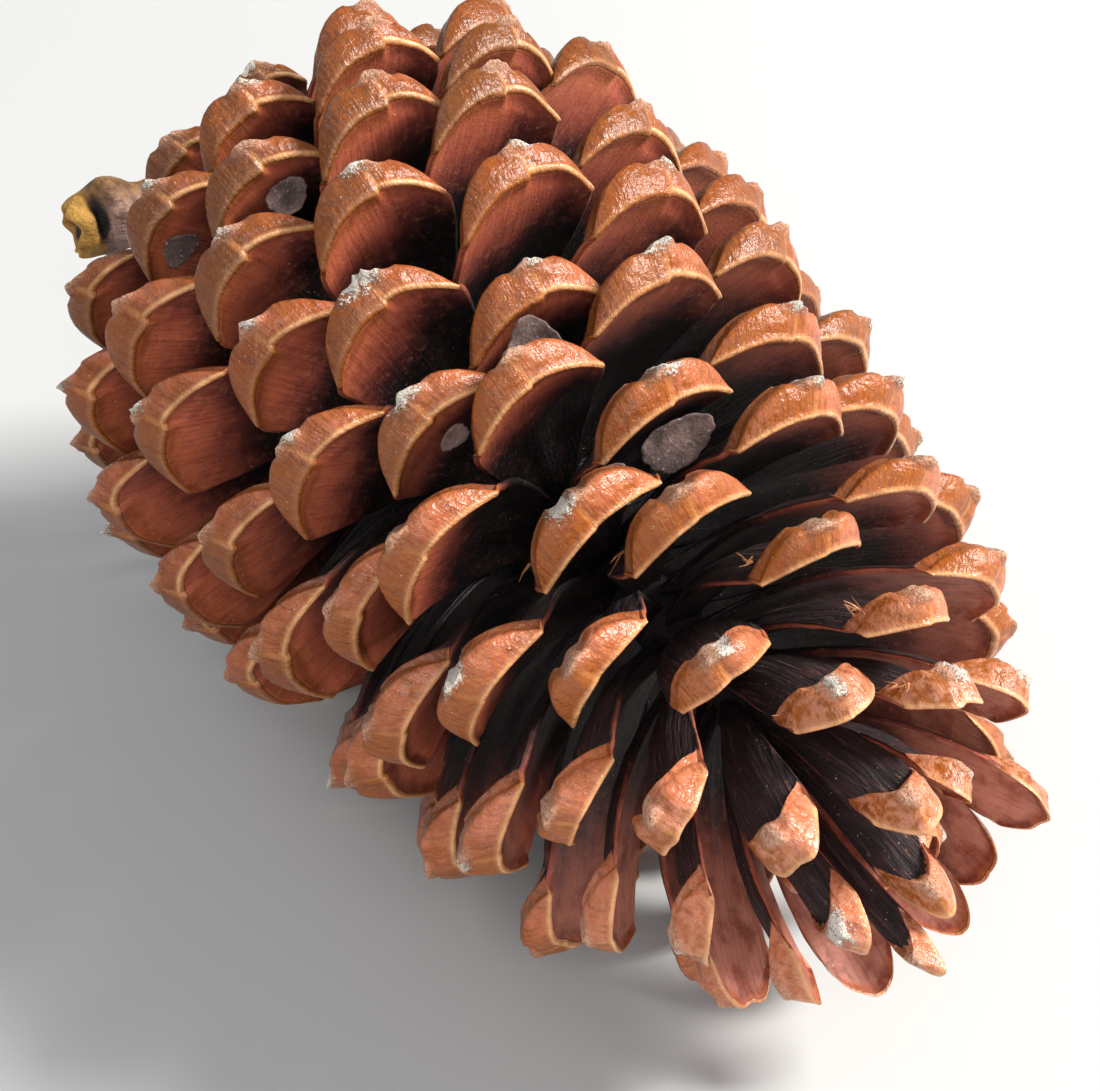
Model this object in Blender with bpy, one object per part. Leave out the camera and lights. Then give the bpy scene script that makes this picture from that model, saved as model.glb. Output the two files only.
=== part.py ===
"""Stone pine cone, opened and lying on its side, with the dry seed flakes still caught in it.

The cone is one woody piece: a core that carries every scale, and the bent stump of its stalk.
It is drawn standing on its stalk end, in millimetres, and then laid down.
"""

import math
import random

import bmesh
import bpy
from mathutils import Matrix, Vector

MM = 0.001

# Growth: the scales sit on a spiral, one after the other from the stalk end to the apex
SCALE_COUNT = 146
SPIRAL_TURN = -137.72
SPIRAL_START = 16.2
SPIRAL_DRIFT = 32.0
DRIFT_POWER = 4.0
SCALE_RISE = 0.71

# Blades: length from the core, and angle to the cone's axis
BLADE_REACH = 32.4
BASE_SHORTENING = 0.70
BASE_FADE = 11.6
TOP_SHORTENING = 0.12
BASE_ANGLE = 88.0
APEX_ANGLE = 10.0
ANGLE_POWER = 3.4

# Blade width and cap height
HALF_WIDTH = 8.6
BASE_NARROWING = 0.45
NARROWING_FADE = 14.0
TAPER_FROM = 0.62
TAPER_AMOUNT = 0.84
TAPER_POWER = 1.5
CAP_HEIGHT_BASE = 3.9
CAP_HEIGHT_TOP = 4.7
CAP_FULL_AT = 105
CAP_LEAST_SHARE = 0.45

# Blades are hollow above, and those nearer the apex bow towards it
EDGE_LIFT = 1.7
BOW_SLOPE = 0.26
BOW_FROM = 0.42
BOW_FULL = 0.66

# Blade thickness, and where along it the waist and the brow sit
BLADE_THICKNESS = 1.2
WAIST_AT = 0.45
WAIST_HEIGHT = 1.2
WAIST_LIFT_SHARE = 0.25
BROW_AT = 0.80
BROW_SHARE = 0.40
BROW_LIFT_SHARE = 0.75

# A blade's root, the depth of its keel, and how far its cap's front and its umbo stand out
ROOT_HALF_WIDTH = 2.0
ROOT_HALF_HEIGHT = 0.9
WAIST_KEEL_DEPTH = 1.0
BROW_KEEL_DEPTH = 2.6
FRONT_PROUD = 0.9
UMBO_PROUD = 1.6

# Core that carries the scales
CORE_RADIUS_BASE = 6.0
CORE_RADIUS_TOP = 2.5
CORE_SIDES = 12
CORE_RINGS = 5
CORE_BELOW = 3.0
ROOT_SUNK = 0.7

# Stump of the stalk, broken off after a bend
STALK_AZIMUTH = 48.0
STALK_PATH = ((0.0, 4.0), (2.0, -3.5), (9.0, -8.0), (16.0, -9.5), (22.0, -10.5))
STALK_RADII = (4.9, 4.9, 4.5, 4.1, 3.8)
STALK_SIDES = 9

# Scales that grew out of line: index, degrees round the axis, degrees towards the base
IRREGULAR = {
    8: (-2.0, -5.0),
    16: (4.0, -4.0),
    18: (8.0, 3.0),
    21: (-7.0, -3.0),
    29: (0.0, -5.0),
    39: (8.0, 6.0),
    40: (0.0, 10.0),
    44: (-3.0, -8.0),
    45: (3.0, 3.0),
    55: (-4.0, -1.0),
    60: (-4.0, -5.0),
    68: (-5.0, -3.0),
    71: (0.0, -7.0),
    73: (-3.0, -5.0),
    76: (-5.0, -5.0),
    78: (0.0, -5.0),
    81: (-2.0, -7.0),
    86: (0.0, -8.0),
    87: (4.0, -5.0),
    92: (3.0, -3.0),
    95: (6.0, -4.0),
    97: (-4.0, -4.0),
    103: (5.0, -6.0),
    111: (5.0, -7.0),
    112: (0.0, 7.0),
    115: (-6.0, 0.0),
    117: (-10.0, -9.0),
    119: (7.0, -13.0),
    120: (-9.0, 2.0),
    124: (8.0, -4.0),
    127: (5.0, -11.0),
    129: (19.0, 1.0),
    131: (4.0, -2.0),
    133: (-12.0, -9.0),
    134: (12.0, -7.0),
    136: (-8.0, -12.0),
    139: (-12.0, -12.0),
    144: (-4.0, -5.0),
}

# Scales that grew shorter or longer: index, share of the full length. It rests on 49, 67 and 96.
LENGTH_SHARE = {
    41: 0.98,
    49: 1.08,
    54: 0.98,
    62: 0.97,
    67: 1.07,
    75: 0.955,
    88: 0.98,
    96: 1.02,
    135: 0.90,
    137: 0.72,
    138: 0.55,
    140: 0.60,
    141: 0.50,
    142: 0.65,
    143: 0.50,
    145: 0.50,
}

# Small seeded unevenness of every scale
SEED = 7
TURN_SPREAD = 1.0
LEAN_SPREAD = 1.0
ROLL_SPREAD = 4.0
SIZE_SPREAD = 0.04

# Lying pose: the side of the cone that faces up, the dip of the apex, and the core's start
UP_SIDE = -51.727
APEX_DIP = 5.711
CORE_START = Vector((-59.317, -0.533, 43.936))

# Seed flakes: scale index, place along the blade, place across it, turn, lean, height and width
FLAKE_THICKNESS = 0.8
FLAKE_CLEARANCE = 0.55
FLAKE_SIDES = 10
FLAKE_POINT = 0.18
FLAKE_TOP_SHARE = 0.9
FLAKES = {
    "seed_flake_1": (71, 30.0, 2.2, 18.0, 58.0, 5.2, 5.0),
    "seed_flake_2": (92, 26.5, -0.4, 22.0, 58.0, 5.2, 8.2),
    "seed_flake_3": (92, 24.3, 6.6, 26.0, 52.0, 2.2, 3.0),
    "seed_flake_4": (21, 27.0, 2.0, -20.0, 35.0, 4.2, 6.0),
    "seed_flake_5": (29, 28.5, -1.5, -3.0, 40.0, 4.4, 5.6),
    "seed_flake_6": (76, 28.6, -0.6, -6.0, 38.0, 3.0, 4.2),
}

WOOD_COLOUR = (0.34, 0.13, 0.055, 1.0)
WOOD_ROUGHNESS = 0.55
FLAKE_COLOUR = (0.15, 0.125, 0.14, 1.0)
FLAKE_ROUGHNESS = 0.8


def share(index):
    """How far up the cone a scale sits, from 0 at the stalk end to 1 at the apex."""
    return index / SCALE_COUNT


def unevenness(index):
    """Seeded draws for one scale: turn, lean and roll in degrees, and a size factor."""
    draw = random.Random(SEED * 1000 + index)
    turn = draw.uniform(-TURN_SPREAD, TURN_SPREAD)
    lean = draw.uniform(-LEAN_SPREAD, LEAN_SPREAD)
    roll = draw.uniform(-ROLL_SPREAD, ROLL_SPREAD)
    size = 1.0 + draw.uniform(-SIZE_SPREAD, SIZE_SPREAD)
    return turn, lean, roll, size


def core_radius(index):
    """Radius of the core where a scale leaves it."""
    return CORE_RADIUS_BASE + (CORE_RADIUS_TOP - CORE_RADIUS_BASE) * share(index) ** 2


def blade_reach(index):
    """Length of a blade from the core to the middle of its cap."""
    base_loss = BASE_SHORTENING * math.exp(-index / BASE_FADE)
    full = BLADE_REACH * (1.0 - base_loss - TOP_SHORTENING * (share(index) - 0.5))
    return full * LENGTH_SHARE.get(index, 1.0)


def half_width(index):
    """Half of a blade's greatest width."""
    base_loss = BASE_NARROWING * math.exp(-index / NARROWING_FADE)
    past = max(0.0, (share(index) - TAPER_FROM) / (1.0 - TAPER_FROM))
    return HALF_WIDTH * (1.0 - base_loss) * (1.0 - TAPER_AMOUNT * past ** TAPER_POWER)


def cap_height(index):
    """Height of the thick cap at a blade's end."""
    full = CAP_HEIGHT_BASE + (CAP_HEIGHT_TOP - CAP_HEIGHT_BASE) * min(1.0, index / CAP_FULL_AT)
    width_share = half_width(index) / HALF_WIDTH
    return full * (CAP_LEAST_SHARE + (1.0 - CAP_LEAST_SHARE) * width_share)


def bow_slope(index):
    """Slope of a blade's tip towards the apex, against the line from its root to its tip."""
    past = min(1.0, max(0.0, (share(index) - BOW_FROM) / (BOW_FULL - BOW_FROM)))
    return BOW_SLOPE * past * past * (3.0 - 2.0 * past)


def bowed(index, along, thick):
    """Where a point of a straight blade lies on the bowed one, and the blade's slope there."""
    reach = blade_reach(index)
    part = min(1.0, max(0.0, along / reach))
    slope = math.atan(bow_slope(index) * (2.0 * part - 1.0))
    sag = bow_slope(index) * reach * part * (part - 1.0) + (along - part * reach) * math.tan(slope)
    return along - thick * math.sin(slope), sag + thick * math.cos(slope), slope


def face_height(index, along, across):
    """Height of a straight blade's hollow upper face."""
    reach = blade_reach(index)
    rise = min(1.0, max(0.0, (along / reach - WAIST_AT) / (BROW_AT - WAIST_AT)))
    middle = WAIST_HEIGHT + (BROW_SHARE * cap_height(index) - WAIST_HEIGHT) * rise
    return middle + EDGE_LIFT * (across / HALF_WIDTH) ** 2 * (along / reach)


def scale_frame(index):
    """Matrix from a scale's own axes (along, across, thick) to the standing cone."""
    turn, lean, roll, _ = unevenness(index)
    extra_turn, extra_lean = IRREGULAR.get(index, (0.0, 0.0))
    azimuth = SPIRAL_START + SPIRAL_TURN * index + SPIRAL_DRIFT * share(index) ** DRIFT_POWER
    azimuth = math.radians(azimuth + turn + extra_turn)
    angle = BASE_ANGLE + (APEX_ANGLE - BASE_ANGLE) * share(index) ** ANGLE_POWER
    angle = math.radians(angle + lean + extra_lean)
    outward = Vector((math.cos(azimuth), math.sin(azimuth), 0.0))
    across = Vector((-math.sin(azimuth), math.cos(azimuth), 0.0))
    along = outward * math.sin(angle) + Vector((0.0, 0.0, math.cos(angle)))
    thick = along.cross(across)
    start = outward * core_radius(index) + Vector((0.0, 0.0, SCALE_RISE * index))
    axes = Matrix((along, across, thick)).transposed().to_4x4()
    return Matrix.Translation(start) @ axes @ Matrix.Rotation(math.radians(roll), 4, "X")


def scale_mesh(index):
    """Closed mesh of one scale: a thin blade that widens outwards, with a thick rounded cap."""
    size = unevenness(index)[3]
    reach = blade_reach(index)
    wide = half_width(index) * size
    cap = cap_height(index) * size
    lift = EDGE_LIFT * wide / HALF_WIDTH
    sunk = ROOT_SUNK * core_radius(index)
    waist = WAIST_HEIGHT + WAIST_LIFT_SHARE * lift
    brow = BROW_SHARE * cap + BROW_LIFT_SHARE * lift
    places = {
        "root_top": (-sunk, ROOT_HALF_WIDTH, ROOT_HALF_HEIGHT),
        "root_low": (-sunk, ROOT_HALF_WIDTH, -ROOT_HALF_HEIGHT),
        "waist_top": (WAIST_AT * reach, 0.72 * wide, waist),
        "waist_low": (WAIST_AT * reach, 0.72 * wide, waist - BLADE_THICKNESS),
        "brow_top": (BROW_AT * reach, 0.98 * wide, brow),
        "brow_low": (BROW_AT * reach, 0.98 * wide, brow - BLADE_THICKNESS),
        "shoulder_top": (0.93 * reach, 0.82 * wide, 0.44 * cap + 0.60 * lift),
        "shoulder_mid": (0.955 * reach, 0.86 * wide, 0.12 * cap + 0.50 * lift),
        "shoulder_low": (0.92 * reach, 0.76 * wide, -0.26 * cap + 0.40 * lift),
        "front_top": (reach, 0.32 * wide, 0.47 * cap),
        "front_mid": (reach + FRONT_PROUD, 0.36 * wide, 0.02 * cap),
        "front_low": (0.975 * reach, 0.32 * wide, -0.50 * cap),
    }
    middles = {
        "waist_keel": (WAIST_AT * reach, 0.0, -WAIST_KEEL_DEPTH),
        "brow_keel": (0.78 * reach, 0.0, BROW_SHARE * cap - BROW_KEEL_DEPTH),
        "brow_dip": (BROW_AT * reach, 0.0, 0.33 * cap),
        "umbo": (reach + UMBO_PROUD, 0.0, -0.08 * cap),
    }
    mesh = bmesh.new()
    verts = {}
    for name, (along, across, thick) in (places | middles).items():
        along, thick, _ = bowed(index, along, thick)
        sides = (0,) if name in middles else (-1, 1)
        for side in sides:
            verts[name, side] = mesh.verts.new((along, side * across, thick))

    def face(*corners):
        mesh.faces.new([verts[corner] for corner in corners])

    face(("root_top", -1), ("root_top", 1), ("root_low", 1), ("root_low", -1))
    face(("root_top", -1), ("waist_top", -1), ("waist_top", 1), ("root_top", 1))
    face(("root_low", 1), ("waist_low", 1), ("waist_keel", 0), ("waist_low", -1), ("root_low", -1))
    face(("front_top", -1), ("front_mid", -1), ("umbo", 0), ("front_mid", 1), ("front_top", 1))
    face(("front_low", -1), ("front_low", 1), ("front_mid", 1), ("umbo", 0), ("front_mid", -1))
    face(("brow_dip", 0), ("front_top", -1), ("front_top", 1))
    face(("brow_dip", 0), ("waist_top", 1), ("waist_top", -1))
    face(("brow_keel", 0), ("front_low", 1), ("front_low", -1))
    for side in (-1, 1):
        face(("root_top", side), ("root_low", side), ("waist_low", side), ("waist_top", side))
        face(("waist_top", side), ("waist_low", side), ("brow_low", side), ("brow_top", side))
        face(("waist_low", side), ("waist_keel", 0), ("brow_keel", 0), ("brow_low", side))
        face(("waist_top", side), ("brow_top", side), ("brow_dip", 0))
        face(("brow_top", side), ("shoulder_top", side), ("brow_dip", 0))
        face(("shoulder_top", side), ("front_top", side), ("brow_dip", 0))
        face(("brow_top", side), ("brow_low", side), ("shoulder_mid", side), ("shoulder_top", side))
        face(("brow_low", side), ("shoulder_low", side), ("shoulder_mid", side))
        face(("shoulder_top", side), ("shoulder_mid", side), ("front_mid", side), ("front_top", side))
        face(("shoulder_mid", side), ("shoulder_low", side), ("front_low", side), ("front_mid", side))
        face(("brow_low", side), ("brow_keel", 0), ("shoulder_low", side))
        face(("shoulder_low", side), ("brow_keel", 0), ("front_low", side))
    bmesh.ops.triangulate(mesh, faces=mesh.faces)
    bmesh.ops.recalc_face_normals(mesh, faces=mesh.faces)
    mesh.transform(scale_frame(index))
    return mesh


def ring_tube(centres, radii, sides, facing):
    """Closed tube through centres, with each ring square to the direction facing that centre."""
    mesh = bmesh.new()
    rings = []
    for centre, radius, normal in zip(centres, radii, facing):
        turn = Vector((0.0, 0.0, 1.0)).rotation_difference(normal).to_matrix()
        ring = []
        for step in range(sides):
            angle = 2.0 * math.pi * step / sides
            spoke = Vector((math.cos(angle), math.sin(angle), 0.0)) * radius
            ring.append(mesh.verts.new(centre + turn @ spoke))
        rings.append(ring)
    for low, high in zip(rings, rings[1:]):
        for step in range(sides):
            after = (step + 1) % sides
            mesh.faces.new((low[step], low[after], high[after], high[step]))
    mesh.faces.new(list(reversed(rings[0])))
    mesh.faces.new(rings[-1])
    bmesh.ops.triangulate(mesh, faces=mesh.faces)
    bmesh.ops.recalc_face_normals(mesh, faces=mesh.faces)
    return mesh


def core_mesh():
    """Tapered core from just below the first scale to the last one."""
    upright = Vector((0.0, 0.0, 1.0))
    centres = []
    radii = []
    for ring in range(CORE_RINGS):
        index = SCALE_COUNT * ring / (CORE_RINGS - 1)
        centres.append(upright * (SCALE_RISE * index - (CORE_BELOW if ring == 0 else 0.0)))
        radii.append(core_radius(index))
    return ring_tube(centres, radii, CORE_SIDES, [upright] * CORE_RINGS)


def stalk_mesh():
    """Bent stump of the stalk."""
    azimuth = math.radians(STALK_AZIMUTH)
    outward = Vector((math.cos(azimuth), math.sin(azimuth), 0.0))
    centres = [outward * out + Vector((0.0, 0.0, up)) for out, up in STALK_PATH]
    facing = []
    for step in range(len(centres)):
        before = centres[max(0, step - 1)]
        after = centres[min(len(centres) - 1, step + 1)]
        facing.append((after - before).normalized())
    return ring_tube(centres, STALK_RADII, STALK_SIDES, facing)


def lying_pose():
    """Matrix from the standing cone in millimetres to where it lies, in metres."""
    side = math.radians(UP_SIDE)
    dip = math.radians(APEX_DIP)
    axis = Vector((0.0, 0.0, 1.0))
    up = Vector((math.cos(side), math.sin(side), 0.0)) * math.cos(dip) - axis * math.sin(dip)
    heading = (axis - up * axis.dot(up)).normalized()
    turn = Matrix((heading, up.cross(heading), up)).to_4x4()
    return Matrix.Scale(MM, 4) @ Matrix.Translation(CORE_START) @ turn


def material(name, colour, roughness):
    """Plain Principled material."""
    made = bpy.data.materials.new(name)
    made.use_nodes = True
    shader = made.node_tree.nodes["Principled BSDF"]
    shader.inputs["Base Color"].default_value = colour
    shader.inputs["Roughness"].default_value = roughness
    shader.inputs["Metallic"].default_value = 0.0
    return made


def make_object(name, mesh, collection):
    """Object from a bmesh, in a collection."""
    data = bpy.data.meshes.new(name)
    mesh.to_mesh(data)
    mesh.free()
    made = bpy.data.objects.new(name, data)
    collection.objects.link(made)
    return made


def keep_largest_island(data):
    """Drops sealed hollows and scraps: only the island with the most faces stays."""
    mesh = bmesh.new()
    mesh.from_mesh(data)
    unseen = set(mesh.faces)
    islands = []
    while unseen:
        stack = [unseen.pop()]
        island = []
        while stack:
            face = stack.pop()
            island.append(face)
            for edge in face.edges:
                for other in edge.link_faces:
                    if other in unseen:
                        unseen.remove(other)
                        stack.append(other)
        islands.append(island)
    islands.sort(key=len)
    for island in islands[:-1]:
        bmesh.ops.delete(mesh, geom=island, context="FACES")
    bmesh.ops.triangulate(mesh, faces=mesh.faces)
    mesh.to_mesh(data)
    mesh.free()


def build_cone():
    """The whole woody cone as one body."""
    scene_root = bpy.context.scene.collection
    parts = bpy.data.collections.new("scales")
    scene_root.children.link(parts)
    for index in range(SCALE_COUNT):
        make_object(f"scale_{index}", scale_mesh(index), parts)
    make_object("stalk", stalk_mesh(), parts)
    cone = make_object("cone", core_mesh(), scene_root)
    join = cone.modifiers.new("join", "BOOLEAN")
    join.operation = "UNION"
    join.operand_type = "COLLECTION"
    join.collection = parts
    join.solver = "MANIFOLD"
    bpy.context.view_layer.objects.active = cone
    bpy.ops.object.modifier_apply(modifier=join.name)
    for piece in list(parts.objects):
        bpy.data.objects.remove(piece)
    bpy.data.collections.remove(parts)
    keep_largest_island(cone.data)
    cone.data.transform(lying_pose())
    cone.data.materials.clear()
    cone.data.materials.append(material("pine_wood", WOOD_COLOUR, WOOD_ROUGHNESS))
    return cone


def build_flake(name, finish):
    """One dry seed flake, which leans out over the upper face of its scale."""
    index, along, across, turn, tilt, length, width = FLAKES[name]
    tilt = math.radians(tilt)
    stand = 0.5 * length * math.sin(tilt) + 0.5 * FLAKE_THICKNESS * math.cos(tilt)
    height = face_height(index, along, across) + FLAKE_CLEARANCE + stand
    along, thick, slope = bowed(index, along, height)
    mesh = bmesh.new()
    bottom = []
    top = []
    for step in range(FLAKE_SIDES):
        angle = 2.0 * math.pi * step / FLAKE_SIDES
        pointed = 1.0 - FLAKE_POINT * math.cos(angle)
        place = Vector((0.5 * length * math.cos(angle), 0.5 * width * math.sin(angle) * pointed, 0.0))
        bottom.append(mesh.verts.new(place - Vector((0.0, 0.0, 0.5 * FLAKE_THICKNESS))))
        lifted = place * FLAKE_TOP_SHARE + Vector((0.0, 0.0, 0.5 * FLAKE_THICKNESS))
        top.append(mesh.verts.new(lifted))
    for step in range(FLAKE_SIDES):
        after = (step + 1) % FLAKE_SIDES
        mesh.faces.new((bottom[step], bottom[after], top[after], top[step]))
    mesh.faces.new(list(reversed(bottom)))
    mesh.faces.new(top)
    local = Matrix.Translation((along, across, thick)) @ Matrix.Rotation(-slope, 4, "Y")
    local = local @ Matrix.Rotation(math.radians(turn), 4, "Z") @ Matrix.Rotation(tilt, 4, "Y")
    mesh.transform(lying_pose() @ scale_frame(index) @ local)
    flake = make_object(name, mesh, bpy.context.scene.collection)
    flake.data.materials.append(finish)
    return flake


def main():
    for existing in list(bpy.data.objects):
        bpy.data.objects.remove(existing)
    build_cone()
    finish = material("seed_husk", FLAKE_COLOUR, FLAKE_ROUGHNESS)
    for name in FLAKES:
        build_flake(name, finish)


main()
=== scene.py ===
"""Stone pine cone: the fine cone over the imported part, seen as in the photograph."""

import math
import random

import bmesh
import bpy
import numpy as np
from mathutils import Matrix, Vector


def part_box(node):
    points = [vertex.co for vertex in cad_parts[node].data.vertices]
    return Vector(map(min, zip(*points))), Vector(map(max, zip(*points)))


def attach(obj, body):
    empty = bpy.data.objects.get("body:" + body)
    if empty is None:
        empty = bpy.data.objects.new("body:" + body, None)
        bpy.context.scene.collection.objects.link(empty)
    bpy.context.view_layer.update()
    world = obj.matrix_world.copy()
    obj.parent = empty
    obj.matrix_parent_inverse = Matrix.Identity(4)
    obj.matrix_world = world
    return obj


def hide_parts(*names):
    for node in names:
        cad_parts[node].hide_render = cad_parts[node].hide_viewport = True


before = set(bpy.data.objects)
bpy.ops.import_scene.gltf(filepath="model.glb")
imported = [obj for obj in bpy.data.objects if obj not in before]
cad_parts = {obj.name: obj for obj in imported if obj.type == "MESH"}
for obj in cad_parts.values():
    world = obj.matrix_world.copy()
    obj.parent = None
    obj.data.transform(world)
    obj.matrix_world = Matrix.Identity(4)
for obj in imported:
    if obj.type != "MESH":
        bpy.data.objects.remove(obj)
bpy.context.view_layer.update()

MM = 0.001

# Growth in millimetres and degrees, as in the CAD: a spiral of scales from stalk end to apex
SCALE_COUNT = 146
SPIRAL_TURN = -137.72
SPIRAL_START = 16.2
SPIRAL_DRIFT = 32.0
DRIFT_POWER = 4.0
SCALE_RISE = 0.71
BLADE_REACH = 32.4
BASE_SHORTENING = 0.70
BASE_FADE = 11.6
TOP_SHORTENING = 0.12
BASE_ANGLE = 88.0
APEX_ANGLE = 10.0
ANGLE_POWER = 3.4
HALF_WIDTH = 8.6
BASE_NARROWING = 0.45
NARROWING_FADE = 14.0
TAPER_FROM = 0.62
TAPER_AMOUNT = 0.84
TAPER_POWER = 1.5
CAP_HEIGHT_BASE = 3.9
CAP_HEIGHT_TOP = 4.7
CAP_FULL_AT = 105
CAP_LEAST_SHARE = 0.45
EDGE_LIFT = 1.7
BOW_SLOPE = 0.26
BOW_FROM = 0.42
BOW_FULL = 0.66
CORE_RADIUS_BASE = 6.0
CORE_RADIUS_TOP = 2.5
CORE_BELOW = 3.0
ROOT_SUNK = 0.7
STALK_AZIMUTH = 48.0
STALK_PATH = ((0.0, 4.0), (2.0, -3.5), (9.0, -8.0), (16.0, -9.5), (22.0, -10.5))
STALK_RADII = (4.9, 4.9, 4.5, 4.1, 3.8)

# Scales that grew out of line: index, degrees round the axis, degrees towards the base
IRREGULAR = {
    8: (-2.0, -5.0),
    16: (4.0, -4.0),
    18: (8.0, 3.0),
    21: (-7.0, -3.0),
    29: (0.0, -5.0),
    39: (8.0, 6.0),
    40: (0.0, 10.0),
    44: (-3.0, -8.0),
    45: (3.0, 3.0),
    55: (-4.0, -1.0),
    60: (-4.0, -5.0),
    68: (-5.0, -3.0),
    71: (0.0, -7.0),
    73: (-3.0, -5.0),
    76: (-5.0, -5.0),
    78: (0.0, -5.0),
    81: (-2.0, -7.0),
    86: (0.0, -8.0),
    87: (4.0, -5.0),
    92: (3.0, -3.0),
    95: (6.0, -4.0),
    97: (-4.0, -4.0),
    103: (5.0, -6.0),
    111: (5.0, -7.0),
    112: (0.0, 7.0),
    115: (-6.0, 0.0),
    117: (-10.0, -9.0),
    119: (7.0, -13.0),
    120: (-9.0, 2.0),
    124: (8.0, -4.0),
    127: (5.0, -11.0),
    129: (19.0, 1.0),
    131: (4.0, -2.0),
    133: (-12.0, -9.0),
    134: (12.0, -7.0),
    136: (-8.0, -12.0),
    139: (-12.0, -12.0),
    144: (-4.0, -5.0),
}

# Scales that grew shorter or longer: index, share of the full length
LENGTH_SHARE = {
    41: 0.98,
    49: 1.08,
    54: 0.98,
    62: 0.97,
    67: 1.07,
    75: 0.955,
    88: 0.98,
    96: 1.02,
    135: 0.90,
    137: 0.72,
    138: 0.55,
    140: 0.60,
    141: 0.50,
    142: 0.65,
    143: 0.50,
    145: 0.50,
}

# Small seeded unevenness of every scale
SEED = 7
TURN_SPREAD = 1.0
LEAN_SPREAD = 1.0
ROLL_SPREAD = 4.0
SIZE_SPREAD = 0.04

# Lying pose: the side that faces up, the dip of the apex, and the core's start
UP_SIDE = -51.727
APEX_DIP = 5.711
CORE_START = Vector((-59.317, -0.533, 43.936))

# Seed flakes: scale index, place along the blade, place across it, turn, lean, height and width
FLAKES = {
    "seed_flake_1": (71, 30.0, 2.2, 18.0, 58.0, 5.2, 5.0),
    "seed_flake_2": (92, 26.5, -0.4, 22.0, 58.0, 5.2, 8.2),
    "seed_flake_3": (92, 24.3, 6.6, 26.0, 52.0, 2.2, 3.0),
    "seed_flake_4": (21, 27.0, 2.0, -20.0, 35.0, 4.2, 6.0),
    "seed_flake_5": (29, 28.5, -1.5, -3.0, 40.0, 4.4, 5.6),
    "seed_flake_6": (76, 28.6, -0.6, -6.0, 38.0, 3.0, 4.2),
}

# Fine flakes that are larger or smaller than their plates
FLAKE_SIZE = {
    "seed_flake_1": 1.10,
    "seed_flake_4": 0.72,
    "seed_flake_5": 0.85,
    "seed_flake_6": 0.80,
}

# Camera, from the fit to the photograph
CAMERA_PLACE = Vector((276.502, -198.780, 318.635)) * MM
CAMERA_RIGHT = Vector((0.559184, 0.828566, 0.028116))
CAMERA_UP = Vector((-0.544371, 0.341385, 0.766235))
CAMERA_LENS = 133.96

# How many pieces the scales are shared out over
SCALE_GROUPS = 5


def share(index):
    """How far up the cone a scale sits, from 0 at the stalk end to 1 at the apex."""
    return index / SCALE_COUNT


def unevenness(index):
    """Seeded draws for one scale: turn, lean and roll in degrees, and a size factor."""
    draw = random.Random(SEED * 1000 + index)
    turn = draw.uniform(-TURN_SPREAD, TURN_SPREAD)
    lean = draw.uniform(-LEAN_SPREAD, LEAN_SPREAD)
    roll = draw.uniform(-ROLL_SPREAD, ROLL_SPREAD)
    size = 1.0 + draw.uniform(-SIZE_SPREAD, SIZE_SPREAD)
    return turn, lean, roll, size


def core_radius(index):
    """Radius of the core where a scale leaves it."""
    return CORE_RADIUS_BASE + (CORE_RADIUS_TOP - CORE_RADIUS_BASE) * share(index) ** 2


def blade_reach(index):
    """Length of a blade from the core to the middle of its cap."""
    base_loss = BASE_SHORTENING * math.exp(-index / BASE_FADE)
    full = BLADE_REACH * (1.0 - base_loss - TOP_SHORTENING * (share(index) - 0.5))
    return full * LENGTH_SHARE.get(index, 1.0)


def half_width(index):
    """Half of a blade's greatest width."""
    base_loss = BASE_NARROWING * math.exp(-index / NARROWING_FADE)
    past = max(0.0, (share(index) - TAPER_FROM) / (1.0 - TAPER_FROM))
    return HALF_WIDTH * (1.0 - base_loss) * (1.0 - TAPER_AMOUNT * past ** TAPER_POWER)


def cap_height(index):
    """Height of the thick cap at a blade's end."""
    full = CAP_HEIGHT_BASE + (CAP_HEIGHT_TOP - CAP_HEIGHT_BASE) * min(1.0, index / CAP_FULL_AT)
    return full * (CAP_LEAST_SHARE + (1.0 - CAP_LEAST_SHARE) * half_width(index) / HALF_WIDTH)


def bow_slope(index):
    """Slope of a blade's tip towards the apex, against the line from its root to its tip."""
    past = min(1.0, max(0.0, (share(index) - BOW_FROM) / (BOW_FULL - BOW_FROM)))
    return BOW_SLOPE * past * past * (3.0 - 2.0 * past)


def scale_frame(index):
    """Matrix from a scale's own axes (along, across, thick) to the standing cone."""
    turn, lean, roll, _ = unevenness(index)
    extra_turn, extra_lean = IRREGULAR.get(index, (0.0, 0.0))
    azimuth = SPIRAL_START + SPIRAL_TURN * index + SPIRAL_DRIFT * share(index) ** DRIFT_POWER
    azimuth = math.radians(azimuth + turn + extra_turn)
    angle = BASE_ANGLE + (APEX_ANGLE - BASE_ANGLE) * share(index) ** ANGLE_POWER
    angle = math.radians(angle + lean + extra_lean)
    outward = Vector((math.cos(azimuth), math.sin(azimuth), 0.0))
    across = Vector((-math.sin(azimuth), math.cos(azimuth), 0.0))
    along = outward * math.sin(angle) + Vector((0.0, 0.0, math.cos(angle)))
    thick = along.cross(across)
    start = outward * core_radius(index) + Vector((0.0, 0.0, SCALE_RISE * index))
    axes = Matrix((along, across, thick)).transposed().to_4x4()
    return Matrix.Translation(start) @ axes @ Matrix.Rotation(math.radians(roll), 4, "X")


def lying_pose():
    """Matrix from the standing cone in millimetres to where it lies, in metres."""
    side = math.radians(UP_SIDE)
    dip = math.radians(APEX_DIP)
    axis = Vector((0.0, 0.0, 1.0))
    up = Vector((math.cos(side), math.sin(side), 0.0)) * math.cos(dip) - axis * math.sin(dip)
    heading = (axis - up * axis.dot(up)).normalized()
    turn = Matrix((heading, up.cross(heading), up)).to_4x4()
    return Matrix.Scale(MM, 4) @ Matrix.Translation(CORE_START) @ turn


POSE = lying_pose()


# Shader maths

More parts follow.
